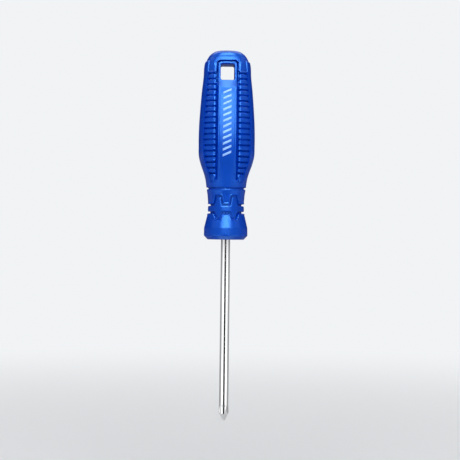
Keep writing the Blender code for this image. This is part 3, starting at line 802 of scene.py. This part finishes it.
def within(value, low, high, soft):
    """1 where value, in radians, lies between two angles in degrees, with soft edges."""
    up, down = (
        add_node(
            tree,
            "ShaderNodeMapRange",
            {"Value": value, "From Min": math.radians(start), "From Max": math.radians(end)},
            interpolation_type="SMOOTHSTEP",
        ).outputs["Result"]
        for start, end in ((low - soft, low + soft), (high + soft, high - soft))
    )
    return add_node(tree, "ShaderNodeMath", {0: up, 1: down}, operation="MULTIPLY").outputs[0]


def reflected_patch(azimuths, elevations, soft, strength):
    """A soft-edged bright patch of the surroundings, seen only in reflections."""
    across, up = within(azimuth, *azimuths, soft), within(elevation, *elevations, soft)
    patch = add_node(tree, "ShaderNodeMath", {0: across, 1: up}, operation="MULTIPLY").outputs[0]
    return add_node(tree, "ShaderNodeMath", {0: patch, 1: strength}, operation="MULTIPLY").outputs[0]


# Azimuths are from the front, from 0 to 180 and alike on both sides, so a range that starts below 0 or ends
# above 180 takes in the front or the back. Elevations are from the horizon.
PATCHES = (  # azimuths, elevations, softness of the edges, strength
    ((-34, 24), (11.5, 80), 12, 15.5),  # softbox over the camera
    ((36, 84), (12, 44), 6, 1.0),  # dim light on each side of it
    ((76, 150), (42, 68), 8, 3.5),  # long lights high up at the sides
    ((150, 210), (34, 60), 6, 1.6),  # light behind
    ((-30, 210), (70, 120), 8, 2.5),  # light overhead
    ((22, 76), (-10.5, -0.3), 1, 1.6),  # screens just under the horizon, which the shank mirrors: white,
    ((78, 126), (-10.5, -0.3), 1, 0.5),  # grey at the sides,
    ((126, 210), (-10.5, -0.3), 1, 0.18),  # and dark behind
    ((24, 76), (-50, -15), 5, 2.6),  # low white screens in front
    ((106, 210), (-56, -15), 5, 0.25),  # low dark screens behind
    ((-30, 210), (-120, -66), 8, 2.0),  # the floor straight below
)
AMBIENT_MIRRORED, AMBIENT_LIGHT = 0.01, 0.53
mirrored = AMBIENT_MIRRORED
for azimuths, elevations, soft, strength in PATCHES:
    patch = reflected_patch(azimuths, elevations, soft, strength)
    mirrored = add_node(tree, "ShaderNodeMath", {0: patch, 1: mirrored}, operation="ADD").outputs[0]
seen, lit, gloss = (
    add_node(tree, "ShaderNodeBackground", {"Color": tint, "Strength": strength}).outputs[0]
    for tint, strength in ((BACKDROP, 1.0), ((1, 1, 1, 1), AMBIENT_LIGHT), ((1, 1, 1, 1), mirrored))
)
rays = add_node(tree, "ShaderNodeLightPath").outputs
light = add_node(tree, "ShaderNodeMixShader", {0: rays["Is Glossy Ray"], 1: lit, 2: gloss}).outputs[0]
room = add_node(tree, "ShaderNodeMixShader", {0: rays["Is Camera Ray"], 1: light, 2: seen}).outputs[0]
add_node(tree, "ShaderNodeOutputWorld", {"Surface": room})


def add_softbox(name, place, aim, width, height, power):
    """A rectangular area light at place, pointing at aim."""
    light = bpy.data.lights.new(name, "AREA")
    light.shape = "RECTANGLE"
    light.size, light.size_y = width, height
    light.energy = power
    lamp = bpy.data.objects.new(name, light)
    lamp.location = place
    lamp.rotation_euler = (Vector(aim) - Vector(place)).to_track_quat("-Z", "Y").to_euler()
    lamp.visible_glossy = False
    bpy.context.scene.collection.objects.link(lamp)


# Two real lamps shade the matt surfaces: the softbox above the camera, and a weak fill from under it.
LAMPS_AIM = (0, 0, -0.06)
add_softbox("softbox_above_camera", (0.0, -0.9, 0.75), LAMPS_AIM, 0.8, 0.5, 8)
add_softbox("fill_below_camera", (0.0, -0.6, -0.3), LAMPS_AIM, 0.5, 0.3, 0.8)
bpy.context.scene.view_settings.view_transform = "Standard"

# Camera: level with the bell, and about a degree to the left of straight on, so that the front panel faces
# slightly right. It is rolled a little, so that the driver leans as it hangs.

DISTANCE, VIEW_WIDTH, SENSOR = 0.68, 0.2546, 36  # metres, metres across the view at the driver, millimetres
AIM_RIGHT, AIM_ABOVE_NOSE = 0.0024, 0.0053
camera_turn, roll = math.radians(-1.2), math.radians(0.66)
aim = Vector((AIM_RIGHT, 0.0, NOSE + AIM_ABOVE_NOSE))
to_camera = Vector((math.sin(camera_turn), -math.cos(camera_turn), 0))
camera_data = bpy.data.cameras.new("camera")
camera_data.sensor_width = SENSOR
camera_data.lens = SENSOR * DISTANCE / VIEW_WIDTH
camera = bpy.data.objects.new("camera", camera_data)
look = (-to_camera).to_track_quat("-Z", "Y").to_matrix().to_4x4()
camera.matrix_world = Matrix.Translation(aim + to_camera * DISTANCE) @ look @ Matrix.Rotation(roll, 4, "Z")
bpy.context.scene.collection.objects.link(camera)
bpy.context.scene.camera = camera
